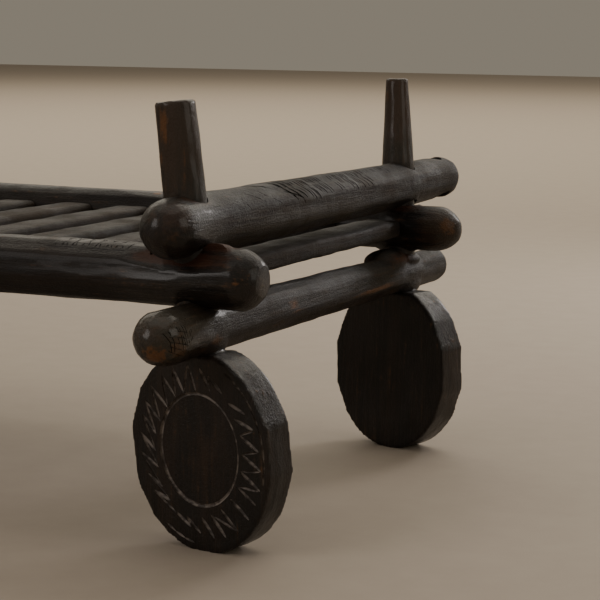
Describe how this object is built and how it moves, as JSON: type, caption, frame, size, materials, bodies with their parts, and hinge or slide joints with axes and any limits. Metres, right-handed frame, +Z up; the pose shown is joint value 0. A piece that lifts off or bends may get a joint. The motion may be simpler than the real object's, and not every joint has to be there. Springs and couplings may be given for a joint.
{
  "type": "low slatted daybed",
  "caption": "Low knock-down daybed: round rails and crossbeams threaded on posts with carved disc feet, slats mortised between the rails.",
  "frame": {"origin": "on the floor under the middle of the bed", "axes": "+X along the rails towards the head end, +Y across the bed from the near rail to the far rail, +Z up"},
  "size_m": [1.952, 1.096, 0.5709],
  "materials": {
    "leg_wood": "oiled, worn, carved",
    "lower_beam_wood": "oiled, worn",
    "upper_beam_wood": "polished by use, carved",
    "rail_wood": "polished by use",
    "slat_wood": "dry, dusty"
  },
  "bodies": {
    "frame": {"near_rail": "rail_wood", "far_rail": "rail_wood", "head_lower_crossbeam": "lower_beam_wood", "foot_lower_crossbeam": "lower_beam_wood", "slat_1": "slat_wood", "slat_2": "slat_wood", "slat_3": "slat_wood", "slat_4": "slat_wood", "slat_5": "slat_wood", "slat_6": "slat_wood", "slat_7": "slat_wood", "slat_8": "slat_wood", "slat_9": "slat_wood", "slat_10": "slat_wood", "slat_11": "slat_wood", "slat_12": "slat_wood", "slat_13": "slat_wood", "slat_14": "slat_wood", "slat_15": "slat_wood", "slat_16": "slat_wood"},
    "leg_head_near": {"head_near_leg": "leg_wood"},
    "leg_head_far": {"head_far_leg": "leg_wood"},
    "leg_foot_near": {"foot_near_leg": "leg_wood"},
    "leg_foot_far": {"foot_far_leg": "leg_wood"},
    "top_head": {"head_upper_crossbeam": "upper_beam_wood"},
    "top_foot": {"foot_upper_crossbeam": "upper_beam_wood"}
  },
  "joints": [
    {"name": "head_near_leg_turn", "type": "hinge", "parent": "frame", "child": "leg_head_near", "pos_m": [0.84, -0.34, 0.342], "axis": [-0.1201, 0, 0.9928], "continuous": true},
    {"name": "head_far_leg_turn", "type": "hinge", "parent": "frame", "child": "leg_head_far", "pos_m": [0.84, 0.34, 0.342], "axis": [-0.0453, 0.0401, 0.9982], "continuous": true},
    {"name": "foot_far_leg_turn", "type": "hinge", "parent": "frame", "child": "leg_foot_far", "pos_m": [-0.84, 0.34, 0.342], "axis": [0.1201, 0, 0.9928], "continuous": true},
    {"name": "foot_near_leg_turn", "type": "hinge", "parent": "frame", "child": "leg_foot_near", "pos_m": [-0.84, -0.34, 0.342], "axis": [0.0453, -0.0401, 0.9982], "continuous": true},
    {"name": "head_crossbeam_lift", "type": "slide", "parent": "frame", "child": "top_head", "axis": [-0.1016, 0.01, 0.9948], "range_m": [0, 0.2]},
    {"name": "foot_crossbeam_lift", "type": "slide", "parent": "frame", "child": "top_foot", "axis": [0.1016, -0.01, 0.9948], "range_m": [0, 0.2]}
  ]
}
